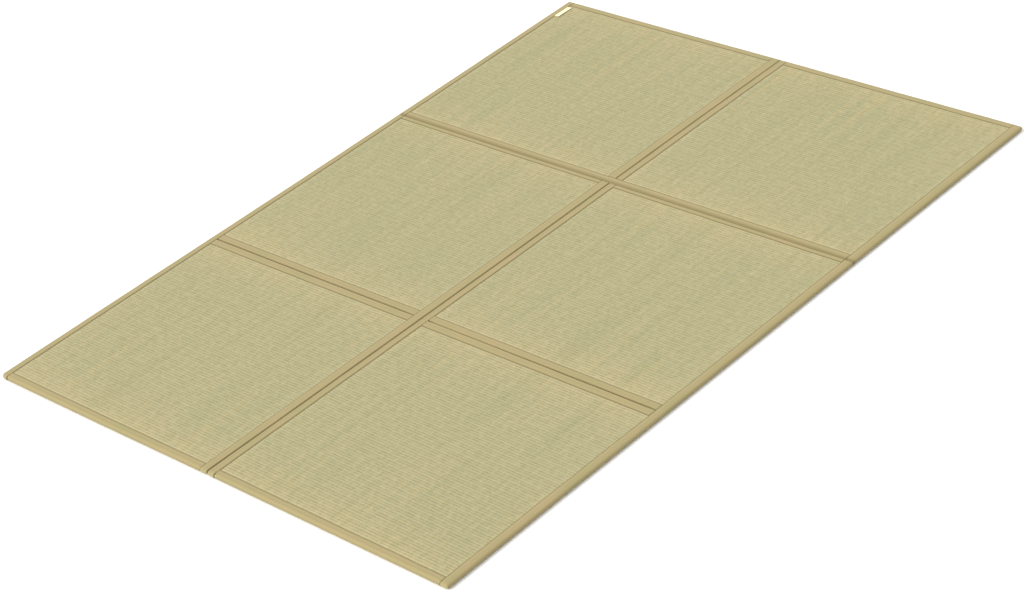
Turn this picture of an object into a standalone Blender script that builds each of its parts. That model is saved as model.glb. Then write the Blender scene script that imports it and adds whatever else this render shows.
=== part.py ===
"""A folding rush mat lying open: six woven rush panels, each edged with cloth tape.

The mat lies flat on the floor, X across it and Y along it, front edge at -Y. Sizes are in
millimetres and turned to metres as each mesh is made. Every piece is a slab between an upper
and a lower surface, whose edges are shaped by the distance in from each of its four sides.
"""
import math

import bmesh
import bpy

MM = 0.001

# The mat
THICK = 12.0            # over the tape
MID = THICK / 2         # height of a rolled edge's outermost line
RUSH_W = 656.0          # woven rush that shows in a panel, across the mat
RUSH_L = 591.0          # and along it
RUSH_TOP = 11.3         # height of the rush in a panel's field

# Tape: how much of it shows along each kind of edge
SIDE_TAPE = 22.0
END_TAPE = 20.5
NEAR_FOLD_FRONT = 22.0
NEAR_FOLD_BACK = 20.0
FAR_FOLD_FRONT = 12.0
FAR_FOLD_BACK = 22.0
WALL = 1.2              # thickness of the folded tape
CLEAR = 0.3             # between pieces that touch
SEAM_CLEAR = 0.4        # between the tapes of two panels that meet
HEM_DROP = 0.3          # the tape's sewn inner edge lies this much lower
HEM_RUN = 6.0

# Edges, seen in section
OUTER_ROLL = 9.0        # how far in a soft outer edge is rounded
SEAM_ROLL = 3.0
CRISP_ROLL = 2.0
RAMP_RUN = 12.0         # the back panels slope down into the far fold
RAMP_DROP = 5.0
TIGHTER = 0.92          # the rush inside a rolled tape is rounded a little more sharply
FLAT_ENOUGH = 0.001
FIELD_START = 1.0       # past the tape, where the rush starts to rise
FIELD_RUN = 9.0

# Lines across and along the mat, before it is laid unevenly
WIDTH = 2 * (RUSH_W + 2 * SIDE_TAPE)
LENGTH = 3 * RUSH_L + 2 * END_TAPE + NEAR_FOLD_FRONT + NEAR_FOLD_BACK + FAR_FOLD_FRONT + FAR_FOLD_BACK
X_LEFT = -WIDTH / 2
X_RIGHT = WIDTH / 2
Y_FRONT = -LENGTH / 2
Y_NEAR = Y_FRONT + END_TAPE + RUSH_L + NEAR_FOLD_FRONT
Y_FAR = Y_NEAR + NEAR_FOLD_BACK + RUSH_L + FAR_FOLD_FRONT
Y_BACK = LENGTH / 2

# How the mat strays from straight lines as it lies. Each row is a place along a line, and each
# column is a line; the values are millimetres towards +X or +Y.
STRAY_X_LINES = (X_LEFT, 0.0, X_RIGHT)
STRAY_X = (
    # place along the mat,      left edge, middle seam, right edge
    (Y_FRONT,                   -0.5, -1.4, 0.3),
    ((Y_FRONT + Y_NEAR) / 2,    0.2, -0.6, -0.6),
    (Y_NEAR,                    2.2, 0.4, 0.6),
    ((Y_NEAR + Y_FAR) / 2,      3.2, 0.8, 1.2),
    (Y_FAR,                     1.8, -0.3, 0.2),
    ((Y_FAR + Y_BACK) / 2,      -0.4, -1.8, 0.0),
    (Y_BACK,                    -2.6, -1.0, 0.8),
)
STRAY_Y_LINES = (Y_FRONT, Y_NEAR, Y_FAR, Y_BACK)
STRAY_Y = (
    # place across the mat,     front edge, near fold, far fold, back edge
    (X_LEFT,                    0.0, -0.8, 0.4, 2.8),
    (X_LEFT / 2,                -0.6, -0.2, -0.9, 1.2),
    (0.0,                       0.6, 1.4, 0.2, 0.4),
    (X_RIGHT / 2,               0.0, 0.8, 0.2, -1.4),
    (X_RIGHT,                   -0.7, 0.0, 0.0, -2.6),
)
# Outer corners are rounded in plan: column, row, radius
CORNERS = (
    (-1, -1, 14.0),
    (1, -1, 5.0),
    (-1, 1, 4.0),
    (1, 1, 6.0),
)
CORNER_FADE = 4.0       # radii over which a corner's rounding dies out along the side

# Small bites out of the front tape where it starts at a lengthwise tape
NICK_RADIUS = 4.5
NICK_SIDES = 12

# Label tab sewn in at the left side tape, near the back
LABEL_LENGTH = 50.0
LABEL_REACH = 14.0
LABEL_THICK = 1.0
LABEL_FROM_BACK = 80.0  # to the tab's near end
LABEL_RISE = 2.2


# --- How the mat lies ---------------------------------------------------------------------

def between(table, lines, place, line):
    """The table's value at a place along a line, straight between its entries."""
    rows = [(row[0], row[1:]) for row in table]
    place = min(max(place, rows[0][0]), rows[-1][0])
    line = min(max(line, lines[0]), lines[-1])
    for (low, low_row), (high, high_row) in zip(rows, rows[1:]):
        if place <= high:
            share = (place - low) / (high - low)
            break
    values = [a + (b - a) * share for a, b in zip(low_row, high_row)]
    for i, (low, high) in enumerate(zip(lines, lines[1:])):
        if line <= high:
            share = (line - low) / (high - low)
            return values[i] + (values[i + 1] - values[i]) * share
    return values[-1]


def corner_pull(x, y):
    """How far a rounded corner draws a point in along Y."""
    pull = 0.0
    for across, along, radius in CORNERS:
        from_side = X_RIGHT - across * x
        from_end = Y_BACK - along * y
        if from_side >= radius or from_end >= CORNER_FADE * radius:
            continue
        lean = (radius - max(from_side, 0.0)) / radius
        depth = radius * (1 - math.sqrt(1 - lean * lean))
        fade = 1 - max(from_end, 0.0) / (CORNER_FADE * radius)
        pull -= along * depth * fade * fade
    return pull


def laid(x, y):
    """Where a point of the straight mat comes to lie."""
    return (
        x + between(STRAY_X, STRAY_X_LINES, y, x),
        y + between(STRAY_Y, STRAY_Y_LINES, x, y) + corner_pull(x, y),
    )


# --- Sides of a slab ----------------------------------------------------------------------
# A side gives the places, measured in from it, where the slab needs a line of vertices, and
# the heights that it allows the upper and lower surface at a distance in from it.

class Rolled:
    """A soft rounded edge, drawn in on all sides by `inset`."""

    def __init__(self, run, inset=0.0):
        self.run = (run - inset) * TIGHTER if inset else run
        self.half = MID - inset
        steps = 2 if inset else 3
        self.stops = [self.run * (1 - math.cos(math.pi / 2 * i / steps)) for i in range(steps + 1)]

    def rise(self, s):
        if s >= self.run:
            return self.half
        lean = (self.run - s) / self.run
        return self.half * math.sqrt(max(0.0, 1 - lean * lean))

    def top(self, s):
        return MID + self.rise(s)

    def bottom(self, s):
        return MID - self.rise(s)


class Ramped(Rolled):
    """An edge whose upper side slopes down to it, as the back panels do at the far fold."""

    def __init__(self, inset=0.0):
        super().__init__(SEAM_ROLL, inset)
        self.inset = inset
        self.stops = [*self.stops, RAMP_RUN / 2, RAMP_RUN]

    def top(self, s):
        left = max(0.0, 1 - (s + self.inset) / RAMP_RUN)
        return THICK - self.inset - RAMP_DROP * left * left


class Butt:
    """A plain cut end."""

    stops = [0.0]

    def top(self, s):
        return THICK

    def bottom(self, s):
        return 0.0


class Hemmed:
    """The tape's inner edge, folded under and sewn down."""

    stops = [0.0, HEM_RUN]

    def top(self, s):
        return THICK - HEM_DROP * max(0.0, 1 - s / HEM_RUN)

    def bottom(self, s):
        return 0.0


class Field:
    """A rush panel's side: held thin by the tape over its edge, then rising to the field."""

    def __init__(self, edge, tape):
        self.edge = edge
        self.start = tape + FIELD_START
        self.stops = [*edge.stops, self.start, self.start + FIELD_RUN]

    def share(self, s):
        return min(max((s - self.start) / FIELD_RUN, 0.0), 1.0)

    def top(self, s):
        held = self.edge.top(s)
        return held + (RUSH_TOP - held) * self.share(s) if s > self.start else held

    def bottom(self, s):
        return self.edge.bottom(s) * (1 - self.share(s))


def skin(bm, ring, outward):
    """A face over four vertices, or two that keep the surface full where they aren't level."""
    a, b, c, d = ring
    fuller = outward * (a.co.z + c.co.z - b.co.z - d.co.z)
    if abs(fuller) < FLAT_ENOUGH * MM:
        bm.faces.new(ring)
    elif fuller > 0:
        bm.faces.new((a, b, c))
        bm.faces.new((a, c, d))
    else:
        bm.faces.new((b, c, d))
        bm.faces.new((b, d, a))


def slab(name, x_span, y_span, sides, material, extra_x=(), extra_y=()):
    """An object between the surfaces that its left, right, front and back sides allow."""
    left, right, front, back = sides
    (x_low, x_high), (y_low, y_high) = x_span, y_span

    def stations(low, high, first, last, extra):
        marks = {round(low + s, 4) for s in first.stops} | {round(high - s, 4) for s in last.stops}
        marks |= {round(e, 4) for e in extra if low < e < high}
        return sorted(m for m in marks if low <= m <= high)

    xs = stations(x_low, x_high, left, right, extra_x)
    ys = stations(y_low, y_high, front, back, extra_y)
    mesh = bpy.data.meshes.new(name)
    bm = bmesh.new()
    upper = {}
    lower = {}
    for i, x in enumerate(xs):
        for j, y in enumerate(ys):
            reach = (x - x_low, x_high - x, y - y_low, y_high - y)
            top = min(side.top(s) for side, s in zip(sides, reach))
            bottom = max(side.bottom(s) for side, s in zip(sides, reach))
            px, py = laid(x, y)
            upper[i, j] = bm.verts.new((px * MM, py * MM, max(top, bottom) * MM))
            lower[i, j] = bm.verts.new((px * MM, py * MM, bottom * MM))
    last_i, last_j = len(xs) - 1, len(ys) - 1
    for i in range(last_i):
        for j in range(last_j):
            cell = ((i, j), (i + 1, j), (i + 1, j + 1), (i, j + 1))
            skin(bm, [upper[k] for k in cell], 1)
            skin(bm, [lower[k] for k in reversed(cell)], -1)
    rim = [(i, 0) for i in range(last_i)] + [(last_i, j) for j in range(last_j)]
    rim += [(i, last_j) for i in range(last_i, 0, -1)] + [(0, j) for j in range(last_j, 0, -1)]
    for here, there in zip(rim, rim[1:] + rim[:1]):
        bm.faces.new((lower[here], lower[there], upper[there], upper[here]))
    bmesh.ops.remove_doubles(bm, verts=bm.verts, dist=0.01 * MM)
    bmesh.ops.dissolve_degenerate(bm, edges=bm.edges, dist=0.001 * MM)
    bm.to_mesh(mesh)
    bm.free()
    mesh.materials.append(material)
    mesh.shade_smooth()
    mesh.set_sharp_from_angle(angle=math.radians(40))
    obj = bpy.data.objects.new(name, mesh)
    bpy.context.collection.objects.link(obj)
    return obj


# --- Materials ----------------------------------------------------------------------------

def material(name, colour, roughness):
    made = bpy.data.materials.new(name)
    made.use_nodes = True
    shader = made.node_tree.nodes["Principled BSDF"]
    shader.inputs["Base Color"].default_value = (*colour, 1.0)
    shader.inputs["Roughness"].default_value = roughness
    shader.inputs["Metallic"].default_value = 0.0
    return made


for old in list(bpy.data.objects):
    bpy.data.objects.remove(old, do_unlink=True)

RUSH = material("woven_rush", (0.52, 0.48, 0.27), 0.75)
TAPE = material("cotton_tape", (0.46, 0.38, 0.20), 0.9)
LABEL = material("label_cloth", (0.88, 0.83, 0.60), 0.85)


# --- Panels -------------------------------------------------------------------------------
# A panel's four edges meet another panel or the open air. Its pocket is the space that the
# tape folded round it leaves, and it is cut out of every tape that the panel reaches.

HALF_SEAM = SEAM_CLEAR / 2
COLUMNS = {
    # name: low X, high X, (roll of low edge, of high edge)
    "left": (X_LEFT, -HALF_SEAM, (OUTER_ROLL, SEAM_ROLL)),
    "right": (HALF_SEAM, X_RIGHT, (SEAM_ROLL, OUTER_ROLL)),
}
ROWS = {
    # name: low Y, high Y, tape at the low edge, tape at the high edge
    "front": (Y_FRONT, Y_NEAR - HALF_SEAM, END_TAPE, NEAR_FOLD_FRONT),
    "middle": (Y_NEAR + HALF_SEAM, Y_FAR - HALF_SEAM, NEAR_FOLD_BACK, FAR_FOLD_FRONT),
    "back": (Y_FAR + HALF_SEAM, Y_BACK, FAR_FOLD_BACK, END_TAPE),
}
ROW_EDGES = {
    # name: front edge, back edge, each for a given inset
    "front": (lambda inset: Rolled(OUTER_ROLL, inset), lambda inset: Rolled(SEAM_ROLL, inset)),
    "middle": (lambda inset: Rolled(SEAM_ROLL, inset), lambda inset: Rolled(CRISP_ROLL, inset)),
    "back": (Ramped, lambda inset: Rolled(OUTER_ROLL, inset)),
}
KNOTS_X = [row[0] for row in STRAY_Y] + [X_RIGHT * across - across * radius for across, _, radius in CORNERS]
KNOTS_Y = [row[0] for row in STRAY_X]
KNOTS_Y += [Y_BACK * along - along * CORNER_FADE * radius for _, along, radius in CORNERS]


def panel_edges(column, row, inset):
    low_roll, high_roll = COLUMNS[column][2]
    front, back = ROW_EDGES[row]
    return Rolled(low_roll, inset), Rolled(high_roll, inset), front(inset), back(inset)


def panel_span(column, row, inset):
    x_low, x_high, _ = COLUMNS[column]
    y_low, y_high, _, _ = ROWS[row]
    return (x_low + inset, x_high - inset), (y_low + inset, y_high - inset)


def panel(column, row):
    """One panel of woven rush, its edges thin where the tape is sewn over them."""
    inset = WALL + CLEAR
    _, _, front_tape, back_tape = ROWS[row]
    tapes = (SIDE_TAPE, SIDE_TAPE, front_tape, back_tape)
    edges = panel_edges(column, row, inset)
    sides = [Field(edge, tape - inset) for edge, tape in zip(edges, tapes)]
    spans = panel_span(column, row, inset)
    return slab(f"rush_{row}_{column}", *spans, sides, RUSH, KNOTS_X, KNOTS_Y)


def pocket(column, row):
    """The space inside the tape that a panel's edge lies in."""
    edges = panel_edges(column, row, WALL)
    spans = panel_span(column, row, WALL)
    made = slab(f"pocket_{row}_{column}", *spans, edges, RUSH, KNOTS_X, KNOTS_Y)
    made.hide_render = True
    made.display_type = "WIRE"
    return made


def cut(obj, cutters):
    for cutter in cutters:
        boolean = obj.modifiers.new(cutter.name, "BOOLEAN")
        boolean.operation = "DIFFERENCE"
        boolean.object = cutter


for column in COLUMNS:
    for row in ROWS:
        panel(column, row)
POCKETS = {(column, row): pocket(column, row) for column in COLUMNS for row in ROWS}


# --- Tape along the mat -------------------------------------------------------------------
# One length covers the front and middle panels and another the back ones, both at the outer
# edges and at the middle seam. Their front ends are folded in, and at the far fold the front
# length ends sharply while the back one slopes down into the fold.

LENGTHS = {
    # suffix: low Y, high Y, front end, back end, rows under the tape
    "front": (Y_FRONT, Y_FAR - HALF_SEAM, Rolled(OUTER_ROLL), Rolled(CRISP_ROLL), ("front", "middle")),
    "back": (Y_FAR + HALF_SEAM, Y_BACK, Ramped(), Rolled(OUTER_ROLL), ("back",)),
}
LENGTHWISE = {
    # name: column under the tape, low X, left side, right side
    "side_left": ("left", X_LEFT, Rolled(OUTER_ROLL), Hemmed()),
    "centre_left": ("left", -HALF_SEAM - SIDE_TAPE, Hemmed(), Rolled(SEAM_ROLL)),
    "centre_right": ("right", HALF_SEAM, Rolled(SEAM_ROLL), Hemmed()),
    "side_right": ("right", X_RIGHT - SIDE_TAPE, Hemmed(), Rolled(OUTER_ROLL)),
}


def lengthwise_tape(name, suffix):
    column, x_low, left, right = LENGTHWISE[name]
    y_low, y_high, front, back, rows = LENGTHS[suffix]
    if suffix == "back" and name.startswith("centre"):
        # The crosswise tape of the far fold passes over the middle seam.
        y_low += FAR_FOLD_BACK + CLEAR
        front = Butt()
    spans = (x_low, x_low + SIDE_TAPE), (y_low, y_high)
    made = slab(f"{name}_{suffix}", *spans, (left, right, front, back), TAPE, (), KNOTS_Y)
    cut(made, [POCKETS[column, row] for row in rows])
    return made


for name in LENGTHWISE:
    for suffix in LENGTHS:
        lengthwise_tape(name, suffix)


# --- Tape across the mat ------------------------------------------------------------------
# Each length runs between two lengthwise tapes.

CROSSWISE = {
    # name: low Y, width, front side, back side, row under the tape
    "end_front": (Y_FRONT, END_TAPE, Rolled(OUTER_ROLL), Hemmed(), "front"),
    "near_fold_front": (Y_NEAR - HALF_SEAM - NEAR_FOLD_FRONT, NEAR_FOLD_FRONT,
                        Hemmed(), Rolled(SEAM_ROLL), "front"),
    "near_fold_back": (Y_NEAR + HALF_SEAM, NEAR_FOLD_BACK, Rolled(SEAM_ROLL), Hemmed(), "middle"),
    "far_fold_front": (Y_FAR - HALF_SEAM - FAR_FOLD_FRONT, FAR_FOLD_FRONT,
                       Hemmed(), Rolled(CRISP_ROLL), "middle"),
    "end_back": (Y_BACK - END_TAPE, END_TAPE, Hemmed(), Rolled(OUTER_ROLL), "back"),
}
BETWEEN = {
    # column: low X, high X
    "left": (X_LEFT + SIDE_TAPE + CLEAR, -HALF_SEAM - SIDE_TAPE - CLEAR),
    "right": (HALF_SEAM + SIDE_TAPE + CLEAR, X_RIGHT - SIDE_TAPE - CLEAR),
}


def crosswise_tape(name, column):
    y_low, width, front, back, row = CROSSWISE[name]
    spans = BETWEEN[column], (y_low, y_low + width)
    made = slab(f"{name}_{column}", *spans, (Butt(), Butt(), front, back), TAPE, KNOTS_X)
    cut(made, [POCKETS[column, row]])
    return made


def nick(tape, x):
    """A bite out of a front tape's rolled edge, where its folded end isn't tucked in."""
    px, py = laid(x, Y_FRONT)
    bpy.ops.mesh.primitive_cylinder_add(
        vertices=NICK_SIDES,
        radius=NICK_RADIUS * MM,
        depth=2 * THICK * MM,
        location=(px * MM, py * MM, MID * MM),
    )
    cutter = bpy.context.object
    cutter.name = "nick_" + tape.name
    cutter.hide_render = True
    cutter.display_type = "WIRE"
    cut(tape, [cutter])


for name in CROSSWISE:
    for column in BETWEEN:
        made = crosswise_tape(name, column)
        if name == "end_front":
            nick(made, BETWEEN[column][0])

# The back panels' tape at the far fold is one length over both of them.
far_back = slab(
    "far_fold_back",
    (BETWEEN["left"][0], BETWEEN["right"][1]),
    (Y_FAR + HALF_SEAM, Y_FAR + HALF_SEAM + FAR_FOLD_BACK),
    (Butt(), Butt(), Ramped(), Hemmed()),
    TAPE,
    KNOTS_X,
)
cut(far_back, [POCKETS["left", "back"], POCKETS["right", "back"]])


# --- Label tab ----------------------------------------------------------------------------
# A folded scrap of label cloth, its free edge lifted off the rush.

LABEL_LOW = RUSH_TOP + CLEAR
label_x = X_LEFT + SIDE_TAPE + CLEAR
label_y = Y_BACK - LABEL_FROM_BACK
bm = bmesh.new()
rings = []
for share in (0.0, 0.5, 1.0):
    lift = LABEL_LOW + LABEL_RISE * share * share
    ring = []
    for y, up in ((0, 0), (LABEL_LENGTH, 0), (LABEL_LENGTH, LABEL_THICK), (0, LABEL_THICK)):
        px, py = laid(label_x + LABEL_REACH * share, label_y + y)
        ring.append(bm.verts.new((px * MM, py * MM, (lift + up) * MM)))
    rings.append(ring)
for ring, following in zip(rings, rings[1:]):
    for a, b in zip(range(4), (1, 2, 3, 0)):
        bm.faces.new((ring[a], ring[b], following[b], following[a]))
bm.faces.new(rings[0][::-1])
bm.faces.new(rings[-1])
bmesh.ops.recalc_face_normals(bm, faces=bm.faces)
label_mesh = bpy.data.meshes.new("label_tab")
bm.to_mesh(label_mesh)
bm.free()
label_mesh.materials.append(LABEL)
bpy.context.collection.objects.link(bpy.data.objects.new("label_tab", label_mesh))


# --- Origin at the middle of the underside ------------------------------------------------

bpy.context.view_layer.update()
corners = [obj.matrix_world @ v.co for obj in bpy.data.objects if not obj.hide_render for v in obj.data.vertices]
middle_x = (min(c.x for c in corners) + max(c.x for c in corners)) / 2
middle_y = (min(c.y for c in corners) + max(c.y for c in corners)) / 2
for obj in bpy.data.objects:
    obj.location.x -= middle_x
    obj.location.y -= middle_y
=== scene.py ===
import math

import bmesh
import bpy
import numpy as np
from mathutils import Matrix


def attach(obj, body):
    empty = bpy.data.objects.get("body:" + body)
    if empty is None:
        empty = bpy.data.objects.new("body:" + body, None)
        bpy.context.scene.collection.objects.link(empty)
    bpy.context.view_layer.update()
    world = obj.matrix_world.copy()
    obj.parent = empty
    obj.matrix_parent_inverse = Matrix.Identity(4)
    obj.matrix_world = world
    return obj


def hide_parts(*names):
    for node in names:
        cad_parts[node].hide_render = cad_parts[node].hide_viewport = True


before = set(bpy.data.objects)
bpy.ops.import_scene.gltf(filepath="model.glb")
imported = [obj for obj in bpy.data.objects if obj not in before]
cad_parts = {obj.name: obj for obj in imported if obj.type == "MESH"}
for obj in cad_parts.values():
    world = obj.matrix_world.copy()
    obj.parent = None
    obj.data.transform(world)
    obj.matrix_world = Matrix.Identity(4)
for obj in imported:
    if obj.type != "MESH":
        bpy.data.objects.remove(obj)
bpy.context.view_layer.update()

MM = 0.001


# --- Woven rush panels --------------------------------------------------------------------
# Six panels of dried rush, each about two thirds of a metre square. The rush stems run along
# the mat and are beaten over cotton warps that cross it, so every warp shows as a low rib.
# The edges are pressed thin where the binding tape is sewn round them.

THICK = 12.0                # over the tape
MID = THICK / 2
RUSH_WIDTH = 656.0          # rush that shows, across the mat and along it
RUSH_LENGTH = 591.0
RUSH_TOP = 11.3
RIBS = 80                   # to a panel, set in pairs
RIB_PITCH = RUSH_LENGTH / RIBS
SIDE_TAPE = 22.0
END_TAPE = 20.5
NEAR_FRONT_TAPE = 22.0
NEAR_BACK_TAPE = 20.0
FAR_FRONT_TAPE = 12.0
FAR_BACK_TAPE = 22.0
HALF_SEAM = 0.2
PANEL_INSET = 1.5           # of the rush from the outside of the tape
RISE_START = 0.5            # how far past the tape's inner edge the rush starts to rise
RISE_RUN = 13.0             # over which the rush rises from the tape to its full height
OUTER_ROLL = 9.0            # how far in the mat's outer edges are rounded
SEAM_ROLL = 3.0             # and those at the seam and the near fold
CRISP_ROLL = 2.0            # and those at the front of the far fold
PANEL_ROLL_STEPS = 3

X_RIGHT = RUSH_WIDTH + 2 * SIDE_TAPE
X_LEFT = -X_RIGHT
Y_BACK = (
    3 * RUSH_LENGTH + 2 * END_TAPE + NEAR_FRONT_TAPE + NEAR_BACK_TAPE + FAR_FRONT_TAPE + FAR_BACK_TAPE
) / 2
Y_FRONT = -Y_BACK
Y_NEAR = Y_FRONT + END_TAPE + RUSH_LENGTH + NEAR_FRONT_TAPE
Y_FAR = Y_NEAR + NEAR_BACK_TAPE + RUSH_LENGTH + FAR_FRONT_TAPE
FRAME_SHIFT = (0.7, -1.05)  # from straight lines about the middle to the part's own origin

# How the mat strays from straight lines as it lies, in millimetres towards +X or +Y
STRAY_X = (
    # place along the mat, then the left edge, middle seam and right edge
    (Y_FRONT, -0.5, -1.4, 0.3),
    ((Y_FRONT + Y_NEAR) / 2, 0.2, -0.6, -0.6),
    (Y_NEAR, 2.2, 0.4, 0.6),
    ((Y_NEAR + Y_FAR) / 2, 3.2, 0.8, 1.2),
    (Y_FAR, 1.8, -0.3, 0.2),
    ((Y_FAR + Y_BACK) / 2, -0.4, -1.8, 0.0),
    (Y_BACK, -2.6, -1.0, 0.8),
)
STRAY_Y = (
    # place across the mat, then the front edge, near fold, far fold and back edge
    (X_LEFT, 0.0, -0.8, 0.4, 2.8),
    (X_LEFT / 2, -0.6, -0.2, -0.9, 1.2),
    (0.0, 0.6, 1.4, 0.2, 0.4),
    (X_RIGHT / 2, 0.0, 0.8, 0.2, -1.4),
    (X_RIGHT, -0.7, 0.0, 0.0, -2.6),
)
OUTER_CORNERS = ((-1, -1, 14.0), (1, -1, 5.0), (-1, 1, 4.0), (1, 1, 6.0))
CORNER_FADE = 4.0


def stray(table, lines, place, line):
    """The table's value at places along its lines, straight between its entries."""
    table = np.array(table)
    columns = np.stack([np.interp(place, table[:, 0], column) for column in table[:, 1:].T])
    lines = np.array(lines)
    k = np.clip(np.searchsorted(lines, line) - 1, 0, len(lines) - 2)
    share = np.clip((line - lines[k]) / (lines[k + 1] - lines[k]), 0, 1)
    at = np.arange(len(place))
    return columns[k, at] * (1 - share) + columns[k + 1, at] * share


def corner_pull(x, y, corner_x, corner_y, across, along, radius):
    """How far a corner rounded in plan draws points in along Y."""
    from_side = np.clip((corner_x - x) * across, 0, radius)
    from_end = np.clip((corner_y - y) * along, 0, CORNER_FADE * radius)
    depth = radius * (1 - np.sqrt(1 - ((radius - from_side) / radius) ** 2))
    return -along * depth * (1 - from_end / (CORNER_FADE * radius)) ** 2


def laid(x, y):
    """Where points of the straight mat come to lie, in metres in the part's frame."""
    x_out = x + stray(STRAY_X, (X_LEFT, 0.0, X_RIGHT), y, x)
    y_out = y + stray(STRAY_Y, (Y_FRONT, Y_NEAR, Y_FAR, Y_BACK), x, y)
    for across, along, radius in OUTER_CORNERS:
        y_out = y_out + corner_pull(x, y, X_RIGHT * across, Y_BACK * along, across, along, radius)
    return (x_out + FRAME_SHIFT[0]) * MM, (y_out + FRAME_SHIFT[1]) * MM


class Rolled:
    """An edge rounded from top to underside, drawn in on all sides by `inset`."""

    def __init__(self, run, inset=0.0, steps=7):
        self.run = run - inset
        self.half = MID - inset
        self.stops = [self.run * (1 - math.cos(math.pi / 2 * i / steps)) for i in range(steps + 1)]

    def rise(self, s):
        lean = np.clip((self.run - s) / self.run, 0, 1)
        return self.half * np.sqrt(1 - lean * lean)

    def top(self, s):
        return MID + self.rise(s)

    def bottom(self, s):
        return MID - self.rise(s)


class Ramped(Rolled):
    """An edge whose upper side slopes down to it, as the back panels do at the far fold."""

    RUN = 12.0
    DROP = 5.0

    def __init__(self, inset=0.0):
        super().__init__(SEAM_ROLL, inset)
        self.inset = inset
        self.stops = [*self.stops, *np.linspace(self.run, self.RUN, 7)[1:]]

    def top(self, s):
        left = np.clip(1 - (s + self.inset) / self.RUN, 0, 1)
        return THICK - self.inset - self.DROP * left**2


class Pressed:
    """A rush panel's side: held thin under the tape, then rising to the open rush."""

    def __init__(self, edge, tape):
        self.edge = edge
        self.start = tape - PANEL_INSET + RISE_START
        self.stops = [*edge.stops, *(self.start + RISE_RUN * np.linspace(0, 1, 6))]

    def risen(self, s):
        share = np.clip((s - self.start) / RISE_RUN, 0, 1)
        return 1 - (1 - share) ** 2

    def top(self, s):
        held = self.edge.top(s)
        return held + (RUSH_TOP - held) * self.risen(s)

    def bottom(self, s):
        return self.edge.bottom(s) * (1 - self.risen(s))


def stations(low, high, first_stops, last_stops, between):
    """Places for lines of vertices: both sides' own, and even ones between them."""
    clear = 0.5
    first = [low + s for s in first_stops]
    last = [high - s for s in last_stops]
    inner = [b for b in between if first[-1] + clear < b < last[-1] - clear]
    return np.array(sorted({round(v, 4) for v in (*first, *inner, *last)}))


def joined_mesh(name, upper, lower, uvs, walls):
    """A mesh of two grids of points, closed between them along the sides named in walls."""
    nx, ny = upper.shape[:2]
    index = np.arange(nx * ny).reshape(nx, ny)
    under = index + nx * ny
    a, b, c, d = index[:-1, :-1], index[1:, :-1], index[1:, 1:], index[:-1, 1:]
    faces = [np.stack([a, b, c, d], -1).reshape(-1, 4)]
    faces.append(np.stack([d, c, b, a], -1).reshape(-1, 4) + nx * ny)
    rims = {
        "front": (index[:, 0], under[:, 0]),
        "right": (index[-1, :], under[-1, :]),
        "back": (index[::-1, -1], under[::-1, -1]),
        "left": (index[0, ::-1], under[0, ::-1]),
    }
    for side in walls:
        top, bottom = rims[side]
        faces.append(np.stack([bottom[:-1], bottom[1:], top[1:], top[:-1]], -1))
    points = np.concatenate([upper.reshape(-1, 3), lower.reshape(-1, 3)])
    corners = np.concatenate(faces)
    mesh = bpy.data.meshes.new(name)
    mesh.from_pydata(points, [], corners)
    flat = np.concatenate([uvs[0].reshape(-1, 2), uvs[1].reshape(-1, 2)])[corners.reshape(-1)]
    mesh.uv_layers.new(name="weave").data.foreach_set("uv", flat.reshape(-1))
    return mesh


def closed_up(mesh, values=()):
    """Gives the mesh its named values at each vertex, then welds the edges where its grids meet."""
    for key, value in values:
        mesh.attributes.new(key, "FLOAT", "POINT").data.foreach_set("value", value)
    bm = bmesh.new()
    bm.from_mesh(mesh)
    bmesh.ops.remove_doubles(bm, verts=bm.verts, dist=0.01 * MM)
    bmesh.ops.dissolve_degenerate(bm, edges=bm.edges, dist=0.001 * MM)
    bm.to_mesh(mesh)
    bm.free()
    obj = bpy.data.objects.new(mesh.name, mesh)
    bpy.context.collection.objects.link(obj)
    return obj


def add(tree, kind, inputs=None, **settings):
    """A node of the tree with its settings, and its inputs linked or set."""
    made = tree.nodes.new(kind)
    for key, value in settings.items():
        setattr(made, key, value)
    for key, value in (inputs or {}).items():
        if isinstance(value, bpy.types.NodeSocket):
            tree.links.new(value, made.inputs[key])
        else:
            made.inputs[key].default_value = value
    return made


def math_of(tree, operation, *values):
    """The result of a Math node."""
    return add(tree, "ShaderNodeMath", dict(enumerate(values)), operation=operation).outputs[0]


def linear(hex_colour):
    """An sRGB hex colour as a linear one."""
    out = []
    for i in (0, 2, 4):
        c = int(hex_colour[i : i + 2], 16) / 255
        out.append(c / 12.92 if c <= 0.04045 else ((c + 0.055) / 1.055) ** 2.4)
    return (*out, 1.0)


# Dried rush: silky straw stems, greener in the middle of their length and yellower at both
# ends. Every stem keeps its own shade along the mat, and passes over every other rib.
rush = bpy.data.materials.new("dried_rush_weave")
rush.use_nodes = True
tree = rush.node_tree
shader = tree.nodes["Principled BSDF"]
shader.inputs["Roughness"].default_value = 0.62
shader.inputs["Specular IOR Level"].default_value = 0.35
place = add(tree, "ShaderNodeTexCoord").outputs["Object"]
weave_map = add(tree, "ShaderNodeUVMap", uv_map="weave").outputs[0]
weave = add(tree, "ShaderNodeSeparateXYZ", {0: weave_map})
across, along = weave.outputs[0], weave.outputs[1]
LENGTH = RUSH_LENGTH * MM
WIDTH = RUSH_WIDTH * MM
STEM = 2.6 * MM             # stems are about 1.3 mm wide; twice that is what can be seen
ENDS_FADE = 0.11            # over which a stem's yellow end turns green
ENDS_RAGGED = 0.09          # how unevenly the stems' ends lie

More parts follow.
